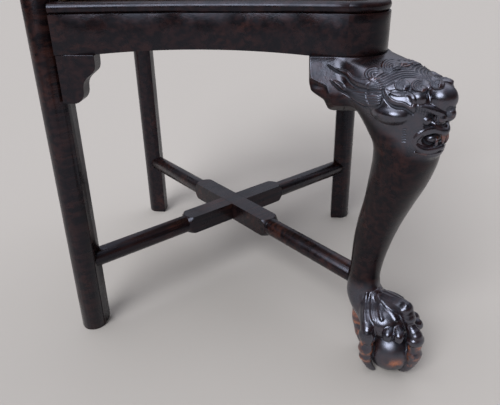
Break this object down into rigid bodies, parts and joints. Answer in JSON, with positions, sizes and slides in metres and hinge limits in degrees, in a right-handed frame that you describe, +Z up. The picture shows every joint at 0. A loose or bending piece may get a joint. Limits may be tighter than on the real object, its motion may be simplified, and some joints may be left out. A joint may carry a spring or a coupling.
{
  "type": "corner armchair",
  "caption": "Square-seated corner chair with curved arms round two sides, pierced splats, crossed stretchers and a carved lion-mask front leg on a claw and ball foot.",
  "frame": {"origin": "on the floor under the middle of the chair's outline", "axes": "+X to the right as the chair is looked at from its carved front leg, +Y from that leg to the back leg, +Z up"},
  "size_m": [0.6656, 0.7287, 0.815],
  "materials": {
    "dark_wood": "polished dark hardwood",
    "seat_wood": "raw",
    "webbing": "woven jute",
    "base_cloth": "coarse linen",
    "seat_leather": "worn polished leather"
  },
  "bodies": {
    "chair": {"front_leg": "dark_wood", "left_leg": "dark_wood", "right_leg": "dark_wood", "rear_leg": "dark_wood", "front_left_rail": "dark_wood", "front_right_rail": "dark_wood", "rear_left_rail": "dark_wood", "rear_right_rail": "dark_wood", "left_knee_bracket": "dark_wood", "right_knee_bracket": "dark_wood", "left_side_bracket": "dark_wood", "right_side_bracket": "dark_wood", "side_stretcher": "dark_wood", "front_stretcher": "dark_wood", "left_splat_shoe": "dark_wood", "right_splat_shoe": "dark_wood", "left_splat": "dark_wood", "right_splat": "dark_wood", "left_arm": "dark_wood", "right_arm": "dark_wood", "crest": "dark_wood", "crest_dowels": "seat_wood"},
    "drop_in_seat": {"seat_frame_front_left": "seat_wood", "seat_frame_front_right": "seat_wood", "seat_frame_rear_left": "seat_wood", "seat_frame_rear_right": "seat_wood", "seat_webbing": "webbing", "seat_base_cloth": "base_cloth", "seat_pad": "seat_leather"}
  },
  "joints": [
    {"name": "seat_lift", "type": "slide", "parent": "chair", "child": "drop_in_seat", "axis": [0, 0, 1], "range_m": [0, 0.12]}
  ]
}
